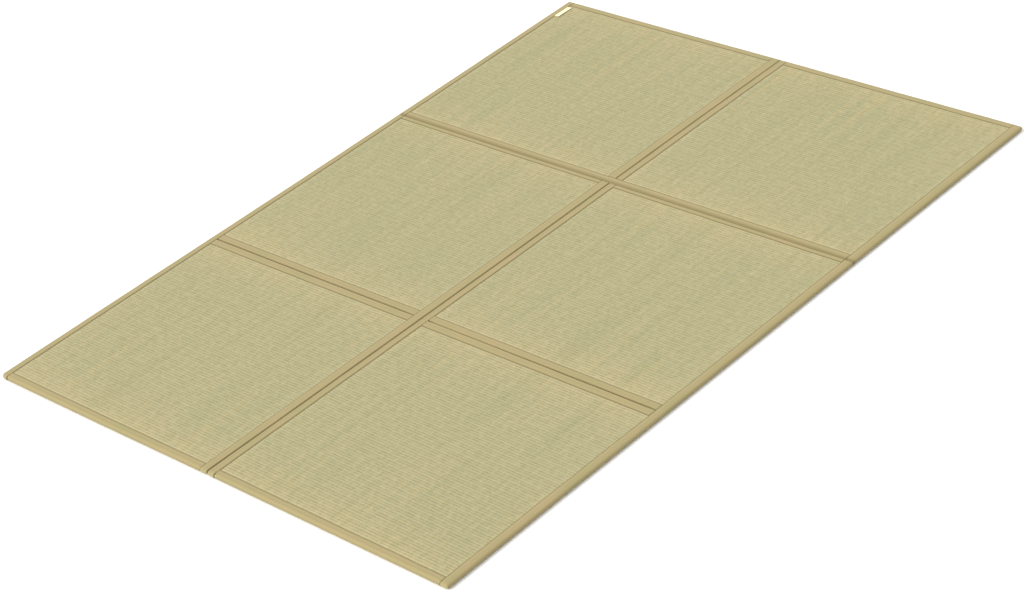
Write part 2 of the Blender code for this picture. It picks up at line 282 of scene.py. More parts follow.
# How near the stem's ends a point is, from 0 in the middle to 1, with a ragged border
ragged = add(
    tree,
    "ShaderNodeTexNoise",
    {"Vector": add(tree, "ShaderNodeMapping", {"Vector": place, "Scale": (70, 9, 1)}).outputs[0],
     "Scale": 1.0, "Detail": 2.0},
).outputs["Fac"]
from_end = math_of(tree, "MINIMUM", along, math_of(tree, "SUBTRACT", LENGTH, along))
ragged_by = math_of(tree, "MULTIPLY", math_of(tree, "SUBTRACT", ragged, 0.5), ENDS_RAGGED)
ragged_end = math_of(tree, "ADD", from_end, ragged_by)
near_end = add(
    tree,
    "ShaderNodeMapRange",
    {"Value": ragged_end, "From Min": 0.0, "From Max": ENDS_FADE, "To Min": 1.0, "To Max": 0.0},
    interpolation_type="SMOOTHSTEP",
).outputs[0]
body_colour = add(
    tree,
    "ShaderNodeMix",
    {"Factor": near_end, 6: linear("ABA67E"), 7: linear("B5AA80")},
    data_type="RGBA",
).outputs[2]

# Each stem's own shade: stripes along the mat, from single stems to handfuls
STRIPES = (
    # width, colour, and how much of that colour at most
    (STEM, "BCAC7C", 0.55),
    (9 * MM, "9A9A6C", 0.30),
    (38 * MM, "B4AA80", 0.30),
)
shades = body_colour
for width, tint, most in STRIPES:
    stripes = add(
        tree,
        "ShaderNodeTexNoise",
        {"Vector": add(tree, "ShaderNodeMapping", {"Vector": place, "Scale": (1 / width, 3.5, 1)}).outputs[0],
         "Scale": 0.5, "Detail": 1.0},
    ).outputs["Fac"]
    amount = add(
        tree,
        "ShaderNodeMapRange",
        {"Value": stripes, "From Min": 0.45, "From Max": 0.68, "To Min": 0.0, "To Max": most},
    ).outputs[0]
    shades = add(
        tree,
        "ShaderNodeMix",
        {"Factor": amount, 6: shades, 7: linear(tint)},
        data_type="RGBA",
    ).outputs[2]

# The rush is paler beside the tape
from_side = math_of(tree, "MINIMUM", across, math_of(tree, "SUBTRACT", WIDTH, across))
from_tape = math_of(tree, "MINIMUM", from_side, from_end)
paler_beside_tape = add(
    tree,
    "ShaderNodeMapRange",
    {"Value": from_tape, "From Min": 0.002, "From Max": 0.016, "To Min": 0.30, "To Max": 0.0},
).outputs[0]
shades = add(
    tree, "ShaderNodeMix", {"Factor": paler_beside_tape, 6: shades, 7: linear("C4BA90")}, data_type="RGBA"
).outputs[2]

# Over and under: stems lie up on one rib and down on the next, like bricks
BETWEEN_STEMS = 0.35 * MM
bricks = add(
    tree,
    "ShaderNodeTexBrick",
    {"Vector": add(tree, "ShaderNodeCombineXYZ", {0: along, 1: across}).outputs[0],
     "Color1": (1, 1, 1, 1), "Color2": (0.80, 0.80, 0.80, 1), "Mortar": (0.55, 0.55, 0.55, 1),
     "Scale": 1.0, "Mortar Size": BETWEEN_STEMS, "Mortar Smooth": 0.6,
     "Brick Width": RIB_PITCH * MM, "Row Height": STEM},
    offset=0.5,
)
# Painted shade: the darker mortar shades the narrow gaps between stems; the bricks' two tones vary at random
bricks_and_gap_shade = add(
    tree,
    "ShaderNodeMix",
    {"Factor": 0.5, 6: shades, 7: bricks.outputs["Color"]},
    data_type="RGBA",
    blend_type="MULTIPLY",
).outputs[2]

# Dust and shade gather in the valleys between ribs, in some places more than in others
rib_angle = math_of(tree, "MULTIPLY", along, math.pi / (RIB_PITCH * MM))
in_valley = math_of(
    tree, "SUBTRACT", 1.0, math_of(tree, "ABSOLUTE", math_of(tree, "SINE", rib_angle))
)
blotches = add(
    tree,
    "ShaderNodeTexNoise",
    {"Vector": add(tree, "ShaderNodeMapping", {"Vector": place, "Scale": (90, 60, 1)}).outputs[0],
     "Scale": 1.0, "Detail": 2.0},
).outputs["Fac"]
how_much = add(
    tree,
    "ShaderNodeMapRange",
    {"Value": blotches, "From Min": 0.35, "From Max": 0.65, "To Min": 0.15, "To Max": 0.75},
).outputs[0]
gathered = math_of(tree, "MULTIPLY", in_valley, how_much)
darker = add(
    tree, "ShaderNodeMix", {"Factor": gathered, 6: bricks_and_gap_shade, 7: linear("7E764E")}, data_type="RGBA"
).outputs[2]
tree.links.new(darker, shader.inputs["Base Color"])
stem_height = math_of(tree, "SUBTRACT", 1.0, bricks.outputs["Fac"])
stem_bump = add(
    tree, "ShaderNodeBump", {"Height": stem_height, "Strength": 0.5, "Distance": 0.3 * MM}
)
tree.links.new(stem_bump.outputs[0], shader.inputs["Normal"])

# The ribs: a tree that lifts and lowers a panel's faces by the ribs that its warps make
ribbing = bpy.data.node_groups.new("rush_ribs", "GeometryNodeTree")
for name, kind, value in (
    ("Geometry", "NodeSocketGeometry", None),
    ("Rib Height", "NodeSocketFloat", 0.9 * MM),
    ("Pair Depth", "NodeSocketFloat", 0.35),
    ("Wander", "NodeSocketFloat", 0.10),
    ("Unevenness", "NodeSocketFloat", 0.8),
    ("Rush", "NodeSocketMaterial", None),
):
    socket = ribbing.interface.new_socket(name, in_out="INPUT", socket_type=kind)
    if value is not None:
        socket.default_value = value
ribbing.interface.new_socket("Geometry", in_out="OUTPUT", socket_type="NodeSocketGeometry")
given = ribbing.nodes.new("NodeGroupInput").outputs
rib = add(ribbing, "GeometryNodeInputNamedAttribute", {"Name": "rib"}).outputs[0]
lift = add(ribbing, "GeometryNodeInputNamedAttribute", {"Name": "lift"}).outputs[0]
where = add(ribbing, "GeometryNodeInputPosition").outputs[0]
drift = add(
    ribbing, "ShaderNodeTexNoise", {"Vector": where, "Scale": 9.0, "Detail": 1.0}
).outputs["Fac"]
patches = add(ribbing, "ShaderNodeVectorMath", {0: where, 1: (38, 90, 0)}, operation="MULTIPLY")
patchy = add(
    ribbing, "ShaderNodeTexNoise", {"Vector": patches.outputs[0], "Scale": 1.0, "Detail": 2.0}
).outputs["Fac"]
off_line = math_of(ribbing, "MULTIPLY", math_of(ribbing, "SUBTRACT", drift, 0.5), given["Wander"])
drifted = math_of(ribbing, "ADD", rib, off_line)
angle = math_of(ribbing, "MULTIPLY", drifted, math.pi)
ROUNDNESS = 0.8             # below 1 gives a rib a fuller top and a narrower valley
hump = math_of(
    ribbing, "POWER", math_of(ribbing, "ABSOLUTE", math_of(ribbing, "SINE", angle)), ROUNDNESS
)
pair = math_of(
    ribbing,
    "ADD",
    math_of(ribbing, "SUBTRACT", 1.0, given["Pair Depth"]),
    math_of(ribbing, "MULTIPLY", math_of(ribbing, "COSINE", angle), given["Pair Depth"]),
)
valley = math_of(ribbing, "MULTIPLY", math_of(ribbing, "SUBTRACT", 1.0, hump), pair)
uneven = math_of(
    ribbing,
    "ADD",
    math_of(ribbing, "MULTIPLY", math_of(ribbing, "SUBTRACT", patchy, 0.5), given["Unevenness"]),
    math_of(ribbing, "SUBTRACT", 0.0, valley),
)
height = math_of(
    ribbing, "MULTIPLY", math_of(ribbing, "MULTIPLY", uneven, given["Rib Height"]), lift
)
offset = add(ribbing, "ShaderNodeCombineXYZ", {2: height}).outputs[0]
moved = add(
    ribbing, "GeometryNodeSetPosition", {"Geometry": given["Geometry"], "Offset": offset}
).outputs[0]
smooth = add(ribbing, "GeometryNodeSetShadeSmooth", {0: moved}).outputs[0]
whole = add(ribbing, "GeometryNodeRealizeInstances", {0: smooth}).outputs[0]
dressed = add(
    ribbing, "GeometryNodeSetMaterial", {"Geometry": whole, "Material": given["Rush"]}
).outputs[0]
add(ribbing, "NodeGroupOutput", {0: dressed})


def grow(obj, group, inputs):
    """Makes the object's mesh what the node tree makes of it."""
    modifier = obj.modifiers.new(group.name, "NODES")
    modifier.node_group = group
    for item in group.interface.items_tree:
        if item.in_out == "INPUT" and item.name in inputs:
            modifier[item.identifier] = inputs[item.name]
    graph = bpy.context.evaluated_depsgraph_get()
    mesh = bpy.data.meshes.new_from_object(obj.evaluated_get(graph), depsgraph=graph)
    mesh.name = obj.name
    old = obj.data
    obj.modifiers.remove(modifier)
    obj.data = mesh
    bpy.data.meshes.remove(old)


COLUMNS = {
    # name: low X, high X, and how far in its two edges are rounded
    "left": (X_LEFT, -HALF_SEAM, OUTER_ROLL, SEAM_ROLL),
    "right": (HALF_SEAM, X_RIGHT, SEAM_ROLL, OUTER_ROLL),
}
ROWS = {
    # name: low Y, high Y, tape on the low edge and on the high edge
    "front": (Y_FRONT, Y_NEAR - HALF_SEAM, END_TAPE, NEAR_FRONT_TAPE),
    "middle": (Y_NEAR + HALF_SEAM, Y_FAR - HALF_SEAM, NEAR_BACK_TAPE, FAR_FRONT_TAPE),
    "back": (Y_FAR + HALF_SEAM, Y_BACK, FAR_BACK_TAPE, END_TAPE),
}
STEPS_PER_RIB = 5
ACROSS_STEP = 15.0
LINES_APART = 0.02          # closer lines of vertices than this are one line
UNDER_LIFT = -0.6           # the underside's ribs, as a share of the top's, pointing down


def panel_edge(roll):
    return Rolled(roll, PANEL_INSET, PANEL_ROLL_STEPS)


ROW_EDGES = {
    "front": (panel_edge(OUTER_ROLL), panel_edge(SEAM_ROLL)),
    "middle": (panel_edge(SEAM_ROLL), panel_edge(CRISP_ROLL)),
    "back": (Ramped(PANEL_INSET), panel_edge(OUTER_ROLL)),
}


def rush_panel(row, column):
    """One panel, with its ribs and its material."""
    x_low, x_high, roll_low, roll_high = COLUMNS[column]
    y_low, y_high, tape_low, tape_high = ROWS[row]
    sides = (
        Pressed(panel_edge(roll_low), SIDE_TAPE),
        Pressed(panel_edge(roll_high), SIDE_TAPE),
        Pressed(ROW_EDGES[row][0], tape_low),
        Pressed(ROW_EDGES[row][1], tape_high),
    )
    x_low, x_high, y_low, y_high = (
        x_low + PANEL_INSET, x_high - PANEL_INSET, y_low + PANEL_INSET, y_high - PANEL_INSET
    )
    rush_x = x_low - PANEL_INSET + SIDE_TAPE
    rush_y = y_low - PANEL_INSET + tape_low
    even = np.arange(x_low, x_high, ACROSS_STEP)
    xs = stations(x_low, x_high, sides[0].stops, sides[1].stops, even)
    step = RIB_PITCH / STEPS_PER_RIB
    ribbed = rush_y + step * np.arange(0, RIBS * STEPS_PER_RIB + 1)
    edges = [y_low + s for s in ROW_EDGES[row][0].stops]
    edges += [y_high - s for s in ROW_EDGES[row][1].stops]
    ys = np.array(sorted({round(v, 4) for v in (*edges, *ribbed)}))
    ys = ys[np.concatenate([[True], np.diff(ys) > LINES_APART])]
    grid_x, grid_y = (g.reshape(-1) for g in np.meshgrid(xs, ys, indexing="ij"))
    reach = (grid_x - x_low, x_high - grid_x, grid_y - y_low, y_high - grid_y)
    top = np.min([side.top(s) for side, s in zip(sides, reach)], axis=0)
    bottom = np.max([side.bottom(s) for side, s in zip(sides, reach)], axis=0)
    lift = np.min([side.risen(s) for side, s in zip(sides, reach)], axis=0)
    px, py = laid(grid_x, grid_y)
    shape = (len(xs), len(ys))
    upper = np.stack([px, py, top * MM], -1).reshape(*shape, 3)
    lower = np.stack([px, py, np.minimum(bottom, top) * MM], -1).reshape(*shape, 3)
    uv = np.stack([(grid_x - rush_x) * MM, (grid_y - rush_y) * MM], -1).reshape(*shape, 2)
    name = f"woven_rush_{row}_{column}"
    mesh = joined_mesh(name, upper, lower, (uv, uv), ("left", "right", "front", "back"))
    ribs = np.tile((grid_y - rush_y) / RIB_PITCH, 2)
    lifts = np.concatenate([lift, UNDER_LIFT * lift])
    panel = closed_up(mesh, (("rib", ribs), ("lift", lifts)))
    grow(panel, ribbing, {"Rush": rush})
    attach(panel, "root")
    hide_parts(f"rush_{row}_{column}")


for row in ROWS:
    for column in COLUMNS:
        rush_panel(row, column)


# --- Binding tape -------------------------------------------------------------------------
# Khaki cotton tape, folded lengthwise round every panel's edges and sewn down through it
# near the tape's inner edge. Long tapes run along the mat; short ones lie between them.

TAPE_THICK = 0.9
STITCH_IN = 0.9             # the sewn line, from the tape's inner edge
STITCH_DIP = 0.6            # how deep the thread draws the tape in, and how wide
STITCH_HALF = 1.5
CREASE_IN = 10.0            # a pressed line, from the tape's outer edge
CREASE_DIP = 0.3
CREASE_HALF = 1.3
ALONG_STEP = 15.0

tape_cloth = bpy.data.materials.new("cotton_binding_tape")
tape_cloth.use_nodes = True
tree = tape_cloth.node_tree
shader = tree.nodes["Principled BSDF"]
shader.inputs["Roughness"].default_value = 0.88
shader.inputs["Specular IOR Level"].default_value = 0.25
shader.inputs["Sheen Weight"].default_value = 0.12
shader.inputs["Sheen Roughness"].default_value = 0.5
place = add(tree, "ShaderNodeTexCoord").outputs["Object"]
noise = add(tree, "ShaderNodeTexNoise", {"Vector": place, "Scale": 9.0, "Detail": 3.0}).outputs["Fac"]
cloudy = add(tree, "ShaderNodeMapRange", {"Value": noise, "From Min": 0.35, "From Max": 0.65}).outputs[0]
colour = add(
    tree,
    "ShaderNodeMix",
    {"Factor": cloudy, 6: linear("A19669"), 7: linear("A7976C")},
    data_type="RGBA",
).outputs[2]
THREAD = 1.6 * MM           # threads lie 0.5 mm apart; drawn three times as coarse, to show
weave_map = add(tree, "ShaderNodeUVMap", uv_map="weave").outputs[0]
threads = add(
    tree,
    "ShaderNodeMapping",
    {"Vector": weave_map, "Scale": (math.pi / THREAD, math.pi / THREAD, 1)},
).outputs[0]
warp = add(tree, "ShaderNodeSeparateXYZ", {0: threads})
plain_weave = math_of(
    tree, "MULTIPLY", math_of(tree, "SINE", warp.outputs[0]), math_of(tree, "SINE", warp.outputs[1])
)
shaded = add(
    tree,
    "ShaderNodeMix",
    {"Factor": math_of(tree, "MULTIPLY_ADD", plain_weave, 0.07, 0.07), 6: colour, 7: linear("6F6745")},
    data_type="RGBA",
).outputs[2]
# Painted shade: the tape is darkened along the sewn line, in the pressed creases, on its rolled outer edges
# and in the far fold's groove
painted_shade = add(tree, "ShaderNodeAttribute", attribute_name="painted_shade", attribute_type="GEOMETRY").outputs["Fac"]
painted_shade_colour = add(
    tree, "ShaderNodeMix", {"Factor": painted_shade, 6: shaded, 7: linear("4A3F1E")}, data_type="RGBA"
).outputs[2]
tree.links.new(painted_shade_colour, shader.inputs["Base Color"])
weave_bump = add(tree, "ShaderNodeBump", {"Height": plain_weave, "Strength": 0.35, "Distance": 0.2 * MM})
tree.links.new(weave_bump.outputs[0], shader.inputs["Normal"])

sewn_lines = {"top": [], "under": []}


def near(distance, half):
    """1 at a line, fading to nothing at about twice `half` to either side of it."""
    return np.exp(-((distance / half) ** 2))


class Hemmed:
    """The tape's inner edge: folded under, and drawn down along the sewn line."""

    RUN = 8.0
    DROP = 0.25
    BELOW = 0.1             # the hem lies this much lower than a tape's cut end
    UNDER_SHARE = 0.25      # of the dip that shows on the underside

    stops = [0.0, 0.4, STITCH_IN, 1.6, 2.4, 3.4, 5.0, 7.0]

    def dip(self, s):
        sewn = STITCH_DIP * near(s - STITCH_IN, STITCH_HALF)
        return sewn + self.DROP * np.clip(1 - s / self.RUN, 0, 1) ** 2

    def top(self, s):
        return THICK - self.BELOW - self.dip(s)

    def bottom(self, s):
        return self.UNDER_SHARE * self.dip(s)


class Butted:
    """A cut end that dips under the long tape that covers it."""

    RUN = 6.0
    DROP = 0.6

    stops = [0.0, 1.0, 2.5, 5.0, 9.0]

    def top(self, s):
        return THICK - self.DROP * np.clip(1 - s / self.RUN, 0, 1) ** 2

    def bottom(self, s):
        return 0 * s


def wander(seed, place, size, wavelength):
    """A smooth, uneven wave along a piece, the same on each run."""
    draw = np.random.RandomState(seed)
    wave = np.zeros_like(place)
    for octave in (1.0, 2.3, 4.1):
        phase, share = draw.uniform(0, 2 * math.pi), draw.uniform(0.6, 1.0)
        wave = wave + share / octave * np.sin(2 * math.pi * place * octave / wavelength + phase)
    return size * wave


def arc_length(side, width):
    """The way round the tape from its outermost line to a distance in from it."""
    s = np.concatenate([np.linspace(0, Ramped.RUN, 241), [width]])
    z = side.top(s)
    run = np.concatenate([[0], np.cumsum(np.hypot(np.diff(s), np.diff(z)))])
    return lambda at: np.interp(at, s, run)


# How much shade is painted on the tape at a line, and over how many millimetres to each side that fades
HEM_SHADE, HEM_SHADE_HALF = 0.62, 1.9
CREASE_SHADE = 0.10
EDGE_SHADE, EDGE_SHADE_HALF = 0.25, 1.6
FOLD_SHADE, FOLD_SHADE_IN, FOLD_SHADE_HALF = 0.42, 4.5, 4.5

# How a tape strays as it was sewn: how much, and the length of its waves
PUFF, PUFF_WAVE, PUFF_RUN = 0.16, 170.0, 6.0
SIDEWAYS, SIDEWAYS_WAVE = 0.35, 210.0
OPENING_RUN = 9.0           # over which a tape's edge gives way where its seam stands open
SHARP = math.radians(50)


def painted_shade_at(reach, sides, hem, outer):
    """How much painted shade the tape takes, from 0 to 1."""
    # painted shade in the sewn line's dip, in the pressed crease and on the rolled outer edge
    painted_shade = HEM_SHADE * near(reach[hem], HEM_SHADE_HALF)
    painted_shade = painted_shade + CREASE_SHADE * near(reach[outer] - CREASE_IN, CREASE_HALF)
    painted_shade = painted_shade + EDGE_SHADE * near(reach[outer], EDGE_SHADE_HALF) * isinstance(sides[outer], Rolled)
    for side, s in zip(sides, reach):
        if isinstance(side, Ramped):
            # painted shade in the groove where the back panels slope down at the far fold
            painted_shade = painted_shade + FOLD_SHADE * near(s - FOLD_SHADE_IN, FOLD_SHADE_HALF)
    return np.clip(painted_shade, 0, 1)


def given_thickness(obj, thickness, offset):
    """Gives the object's sheet a thickness, to one side of it or to both, and returns the mesh."""
    wall = obj.modifiers.new("cloth", "SOLIDIFY")
    wall.thickness = thickness
    wall.offset = offset
    graph = bpy.context.evaluated_depsgraph_get()
    mesh = bpy.data.meshes.new_from_object(obj.evaluated_get(graph), depsgraph=graph)
    obj.modifiers.remove(wall)
    obj.data = mesh
    return mesh


def tape(name, node, x_span, y_span, sides, runs, seed, opening, cuts, over):
    """One length of tape. Its sides are those at its left, right, front and back, `runs` is
    the axis it runs along, `opening` says how far its seam side stands off the seam, and `cuts`
    are the corners that are rounded away in plan. `over`, the pieces it lies over, is not used."""
    (x_low, x_high), (y_low, y_high) = x_span, y_span
    lengthwise = runs == "Y"
    pair = (0, 1) if lengthwise else (2, 3)
    hem = next(i for i in pair if isinstance(sides[i], Hemmed))
    outer = pair[0] + pair[1] - hem
    toward_outer = 1.0 if outer == pair[1] else -1.0

    creases = [CREASE_IN + off for off in (-2.5, -1.2, 0.0, 1.2, 2.5)]
    low, high = x_span if lengthwise else y_span
    creased = [high - c for c in creases] if outer == pair[1] else [low + c for c in creases]
    evenly = np.arange(*(y_span if lengthwise else x_span), ALONG_STEP)
    xs = stations(x_low, x_high, sides[0].stops, sides[1].stops, creased if lengthwise else evenly)
    ys = stations(y_low, y_high, sides[2].stops, sides[3].stops, evenly if lengthwise else creased)
    grid_x, grid_y = (g.reshape(-1) for g in np.meshgrid(xs, ys, indexing="ij"))
    reach = (grid_x - x_low, x_high - grid_x, grid_y - y_low, y_high - grid_y)
    place = grid_y if lengthwise else grid_x
    width = high - low

    top = np.min([side.top(s) for side, s in zip(sides, reach)], axis=0)
    bottom = np.minimum(np.max([side.bottom(s) for side, s in zip(sides, reach)], axis=0), top)
    loose = np.clip((top - bottom) / THICK, 0, 1)
    top = top + loose * wander(seed, place, PUFF, PUFF_WAVE) * np.clip(reach[hem] / PUFF_RUN, 0, 1)
    top = top - CREASE_DIP * near(reach[outer] - CREASE_IN, CREASE_HALF)

    sideways = wander(seed + 1, place, SIDEWAYS, SIDEWAYS_WAVE) * np.clip(1 - reach[hem] / width, 0, 1)
    if opening is not None:
        marks, gaps = zip(*opening)
        at_edge = np.clip(1 - reach[outer] / OPENING_RUN, 0, 1)
        sideways = sideways - np.interp(place, marks, gaps) * at_edge
    sideways = sideways * toward_outer
    flat_x = grid_x + (sideways if lengthwise else 0)
    flat_y = grid_y + (0 if lengthwise else sideways)
    for across, along, radius in cuts:
        corner_x = x_high if across > 0 else x_low
        corner_y = y_high if along > 0 else y_low
        if lengthwise:
            flat_y = flat_y + corner_pull(grid_x, grid_y, corner_x, corner_y, across, along, radius)
        else:
            flat_x = flat_x + corner_pull(grid_y, grid_x, corner_y, corner_x, along, across, radius)

    px, py = laid(flat_x, flat_y)
    shape = (len(xs), len(ys))
    upper = np.stack([px, py, top * MM], -1).reshape(*shape, 3)
    lower = np.stack([px, py, bottom * MM], -1).reshape(*shape, 3)
    way_round = arc_length(sides[outer], width)
    round_it = way_round(reach[outer])
    uv_top = np.stack([place * MM, round_it * MM], -1).reshape(*shape, 2)
    uv_under = np.stack([place * MM, -round_it * MM], -1).reshape(*shape, 2)
    edges = zip(("left", "right", "front", "back"), sides)
    closed = [edge for edge, kind in edges if isinstance(kind, Rolled)]
    # the painted shade, kept at each vertex for the cloth's colour
    painted_shade = painted_shade_at(reach, sides, hem, outer)
    made = closed_up(
        joined_mesh(name, upper, lower, (uv_top, uv_under), closed), [("painted_shade", np.tile(painted_shade, 2))]
    )
    mesh = given_thickness(made, TAPE_THICK * MM, -1)
    mesh.shade_smooth()
    mesh.set_sharp_from_angle(angle=SHARP)
    mesh.materials.append(tape_cloth)

    # where the needle went, for the stitches
    lines, hem_at = (xs, x_span[hem]) if lengthwise else (ys, y_span[hem - 2])
    sewn = np.argmin(np.abs(np.abs(lines - hem_at) - STITCH_IN))
    for level, grid in (("top", upper), ("under", lower)):
        sewn_lines[level].append(grid[sewn] if lengthwise else grid[:, sewn])

    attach(made, "root")
    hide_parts(node)
    around = 2 * float(way_round(width))


# How far each tape's edge stands off its seam: places along the seam and millimetres there
CENTRE_LEFT_GAP = {
    "front": ((Y_FRONT, 1.2), (Y_FRONT + 60, 0.4), (Y_FRONT + 200, -0.6), (Y_NEAR, -1.4),
              (Y_FAR - 150, -1.4), (Y_FAR, -1.0)),
    "back": ((Y_FAR, -1.6), (Y_BACK - 300, -1.4), (Y_BACK - 60, -1.6), (Y_BACK - 30, -1.8),
             (Y_BACK, -1.4)),
}
CENTRE_RIGHT_GAP = {
    "front": ((Y_FRONT, 1.5), (Y_FRONT + 60, 1.2), (Y_FRONT + 200, 2.4), (Y_NEAR, 3.6),
              (Y_FAR - 150, 3.4), (Y_FAR, 2.8)),
    "back": ((Y_FAR, 3.4), (Y_BACK - 300, 2.6), (Y_BACK - 60, 2.6), (Y_BACK - 30, 2.0),
             (Y_BACK, 1.8)),
}
NEAR_LEFT_GAP = ((X_LEFT, 0.6), (X_LEFT + 40, 1.1), (-60, 1.0), (-30, 0.4), (0, 0.1))
NEAR_RIGHT_GAP = ((0, 0.9), (32, 0.9), (45, 0.2), (150, 0.2), (300, 0.8), (450, 1.2), (650, 1.3),
                  (X_RIGHT, 0.3))
FAR_GAP = ((X_LEFT, 0.1), (X_RIGHT, 0.1))

outer_edge = Rolled(OUTER_ROLL)
seam_edge = Rolled(2.6)
crisp_edge = Rolled(1.6)
ramp = Ramped()
hem = Hemmed()
butt = Butted()
BUTT_GAP = 0.3              # between a tape's cut end and the tape it meets
LONG_SPANS = {
    "front": (Y_FRONT, Y_FAR - HALF_SEAM),
    "back": (Y_FAR + HALF_SEAM, Y_BACK),
}
LONG_ENDS = {"front": (outer_edge, crisp_edge), "back": (ramp, outer_edge)}
OVER = {"front": ("front", "middle"), "back": ("back",)}
LONG = {
    # name: panels' column, low X, left side, right side
    "side_left": ("left", X_LEFT, outer_edge, hem),
    "centre_left": ("left", -HALF_SEAM - SIDE_TAPE, hem, seam_edge),
    "centre_right": ("right", HALF_SEAM, seam_edge, hem),
    "side_right": ("right", X_RIGHT - SIDE_TAPE, hem, outer_edge),
}
seed = 10
for name, (column, x_low, left, right) in LONG.items():
    for stretch, (y_low, y_high) in LONG_SPANS.items():
        seed += 2
        front, back = LONG_ENDS[stretch]
        opening = None
        cuts = ()
        if name.startswith("centre"):
            opening = (CENTRE_LEFT_GAP if column == "left" else CENTRE_RIGHT_GAP)[stretch]
            toward_seam = 1 if column == "left" else -1
            cuts = ((toward_seam, -1, 5.0),) if stretch == "front" else ((toward_seam, 1, 3.0),)
            if stretch == "back":
                y_low += FAR_BACK_TAPE + BUTT_GAP
                front = butt
        tape(
            f"tape_{name}_{stretch}",
            f"{name}_{stretch}",
            (x_low, x_low + SIDE_TAPE),
            (y_low, y_high),
            (left, right, front, back),
            "Y",
            seed,
            opening,
            cuts,
            [f"woven_rush_{row}_{column}" for row in OVER[stretch]],
        )

BETWEEN = {
    "left": (X_LEFT + SIDE_TAPE + BUTT_GAP, -HALF_SEAM - SIDE_TAPE - BUTT_GAP),
    "right": (HALF_SEAM + SIDE_TAPE + BUTT_GAP, X_RIGHT - SIDE_TAPE - BUTT_GAP),
}
SHORT = {
    # name: low Y, width, front side, back side, row of panels
    "end_front": (Y_FRONT, END_TAPE, outer_edge, hem, "front"),
    "near_fold_front": (Y_NEAR - HALF_SEAM - NEAR_FRONT_TAPE, NEAR_FRONT_TAPE, hem, seam_edge, "front"),
    "near_fold_back": (Y_NEAR + HALF_SEAM, NEAR_BACK_TAPE, seam_edge, hem, "middle"),
    "far_fold_front": (Y_FAR - HALF_SEAM - FAR_FRONT_TAPE, FAR_FRONT_TAPE, hem, crisp_edge, "middle"),
    "end_back": (Y_BACK - END_TAPE, END_TAPE, hem, outer_edge, "back"),
}
SHORT_CUTS = {
    # name: corners rounded away, where the folded end isn't tucked right in
    ("end_front", "left"): ((-1, -1, 8.0),),
    ("end_front", "right"): ((-1, -1, 12.0),),
    ("end_back", "right"): ((-1, 1, 5.0),),
}
SHORT_GAPS = {
    "near_fold": {"left": NEAR_LEFT_GAP, "right": NEAR_RIGHT_GAP},
    "far_fold": {"left": FAR_GAP, "right": FAR_GAP},
}
for name, (y_low, width, front, back, row) in SHORT.items():
    for column, x_span in BETWEEN.items():
        seed += 2
        gap = SHORT_GAPS.get(name.rpartition("_")[0], {}).get(column)
        tape(
            f"tape_{name}_{column}",
            f"{name}_{column}",
            x_span,
            (y_low, y_low + width),
            (butt, butt, front, back),
            "X",
            seed,
            gap,
            SHORT_CUTS.get((name, column), ()),
            [f"woven_rush_{row}_{column}"],
        )
tape(
    "tape_far_fold_back",
    "far_fold_back",
    (BETWEEN["left"][0], BETWEEN["right"][1]),
    (Y_FAR + HALF_SEAM, Y_FAR + HALF_SEAM + FAR_BACK_TAPE),
    (butt, butt, ramp, hem),
    "X",
    seed + 2,
    FAR_GAP,
    (),
    ["woven_rush_back_left", "woven_rush_back_right"],
)


# --- Stitching ----------------------------------------------------------------------------
# Khaki cotton thread, machine sewn through tape and rush along every inner edge, so that
# its stitches show above and below. Each stitch is a small bead of thread.

thread_cotton = bpy.data.materials.new("cotton_thread")
thread_cotton.use_nodes = True
tree = thread_cotton.node_tree
shader = tree.nodes["Principled BSDF"]
shader.inputs["Roughness"].default_value = 0.8
place = add(tree, "ShaderNodeTexCoord").outputs["Object"]
speckle = add(tree, "ShaderNodeTexNoise", {"Vector": place, "Scale": 120.0, "Detail": 1.0}).outputs["Fac"]
twisted = add(
    tree, "ShaderNodeMix", {"Factor": speckle, 6: linear("8A7C53"), 7: linear("A2946A")}, data_type="RGBA"
).outputs[2]
tree.links.new(twisted, shader.inputs["Base Color"])

sewing = bpy.data.node_groups.new("sewn_line", "GeometryNodeTree")
for name, kind, value in (
    ("Geometry", "NodeSocketGeometry", None),
    ("Pitch", "NodeSocketFloat", 3.6 * MM),
    ("Stitch", "NodeSocketVector", (1.25 * MM, 0.3 * MM, 0.25 * MM)),
    ("Thread", "NodeSocketMaterial", None),
):
    socket = sewing.interface.new_socket(name, in_out="INPUT", socket_type=kind)
    if value is not None:
        socket.default_value = value
sewing.interface.new_socket("Geometry", in_out="OUTPUT", socket_type="NodeSocketGeometry")
given = sewing.nodes.new("NodeGroupInput").outputs
line = add(sewing, "GeometryNodeMeshToCurve", {"Mesh": given["Geometry"]}).outputs[0]
spaced = add(
    sewing, "GeometryNodeResampleCurve", {"Curve": line, "Length": given["Pitch"]}, mode="LENGTH"
).outputs[0]
bead = add(sewing, "GeometryNodeMeshUVSphere", {"Segments": 6, "Rings": 3, "Radius": 1.1}).outputs[0]
turned = add(
    sewing,
    "FunctionNodeAlignRotationToVector",
    {"Vector": add(sewing, "GeometryNodeInputTangent").outputs[0]},
    axis="X",
).outputs[0]
placed = add(
    sewing,
    "GeometryNodeInstanceOnPoints",
    {"Points": spaced, "Instance": bead, "Rotation": turned, "Scale": given["Stitch"]},
).outputs[0]
whole = add(sewing, "GeometryNodeRealizeInstances", {0: placed}).outputs[0]
smooth = add(sewing, "GeometryNodeSetShadeSmooth", {0: whole}).outputs[0]
dressed = add(
    sewing, "GeometryNodeSetMaterial", {"Geometry": smooth, "Material": given["Thread"]}
).outputs[0]
add(sewing, "NodeGroupOutput", {0: dressed})


